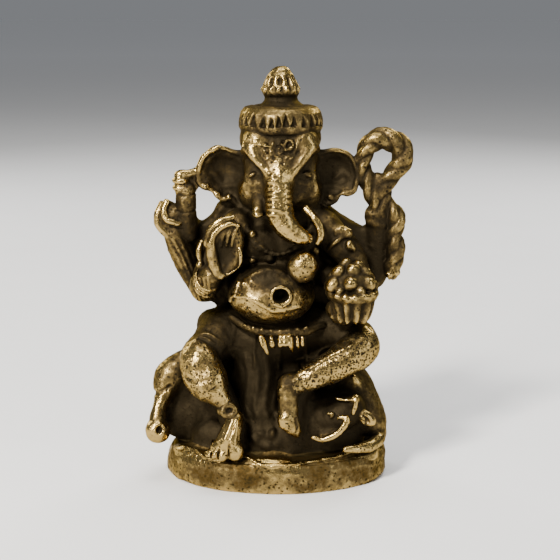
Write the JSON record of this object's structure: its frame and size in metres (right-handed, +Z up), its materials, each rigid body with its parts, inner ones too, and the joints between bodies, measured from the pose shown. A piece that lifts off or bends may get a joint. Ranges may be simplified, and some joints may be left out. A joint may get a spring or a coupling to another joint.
{
  "type": "deity figurine",
  "caption": "Small cast brass figurine of a seated elephant-headed, four-armed deity on an oval plinth, with a flat underside to stand on.",
  "frame": {"origin": "middle of the plinth's flat underside", "axes": "+Z up; the figure faces -Y; +X is the figure's left, which is the viewer's right"},
  "size_m": [0.0321, 0.0188, 0.0501],
  "materials": {
    "brass": "solid cast brass, polished on the high points, with a dark brown patina in the recesses"
  },
  "bodies": {
    "root": {"axe_handle": "brass", "axe_head": "brass", "belly": "brass", "belt": "brass", "bowl": "brass", "brow_ridges": "brass", "chest": "brass", "crown_band": "brass", "crown_finial": "brass", "forehead_jewel": "brass", "ground": "brass", "head": "brass", "hips": "brass", "left_anklet": "brass", "left_armlet": "brass", "left_back_arm": "brass", "left_back_hand": "brass", "left_ear": "brass", "left_foot": "brass", "left_front_arm": "brass", "left_front_hand": "brass", "left_shin": "brass", "left_thigh": "brass", "left_tusk": "brass", "modak": "brass", "mouse_body": "brass", "mouse_ears": "brass", "mouse_tail": "brass", "necklace": "brass", "noose_loop": "brass", "noose_tail": "brass", "pleats": "brass", "plinth": "brass", "right_anklet": "brass", "right_back_arm": "brass", "right_back_hand": "brass", "right_bracelet": "brass", "right_ear": "brass", "right_foot": "brass", "right_front_arm": "brass", "right_front_hand": "brass", "right_shin": "brass", "right_thigh": "brass", "right_toes": "brass", "right_tusk": "brass", "roll_end": "brass", "seat": "brass", "seat_front_rim": "brass", "seat_left_rim": "brass", "seat_right_roll": "brass", "sweets": "brass", "trunk": "brass"}
  },
  "joints": []
}
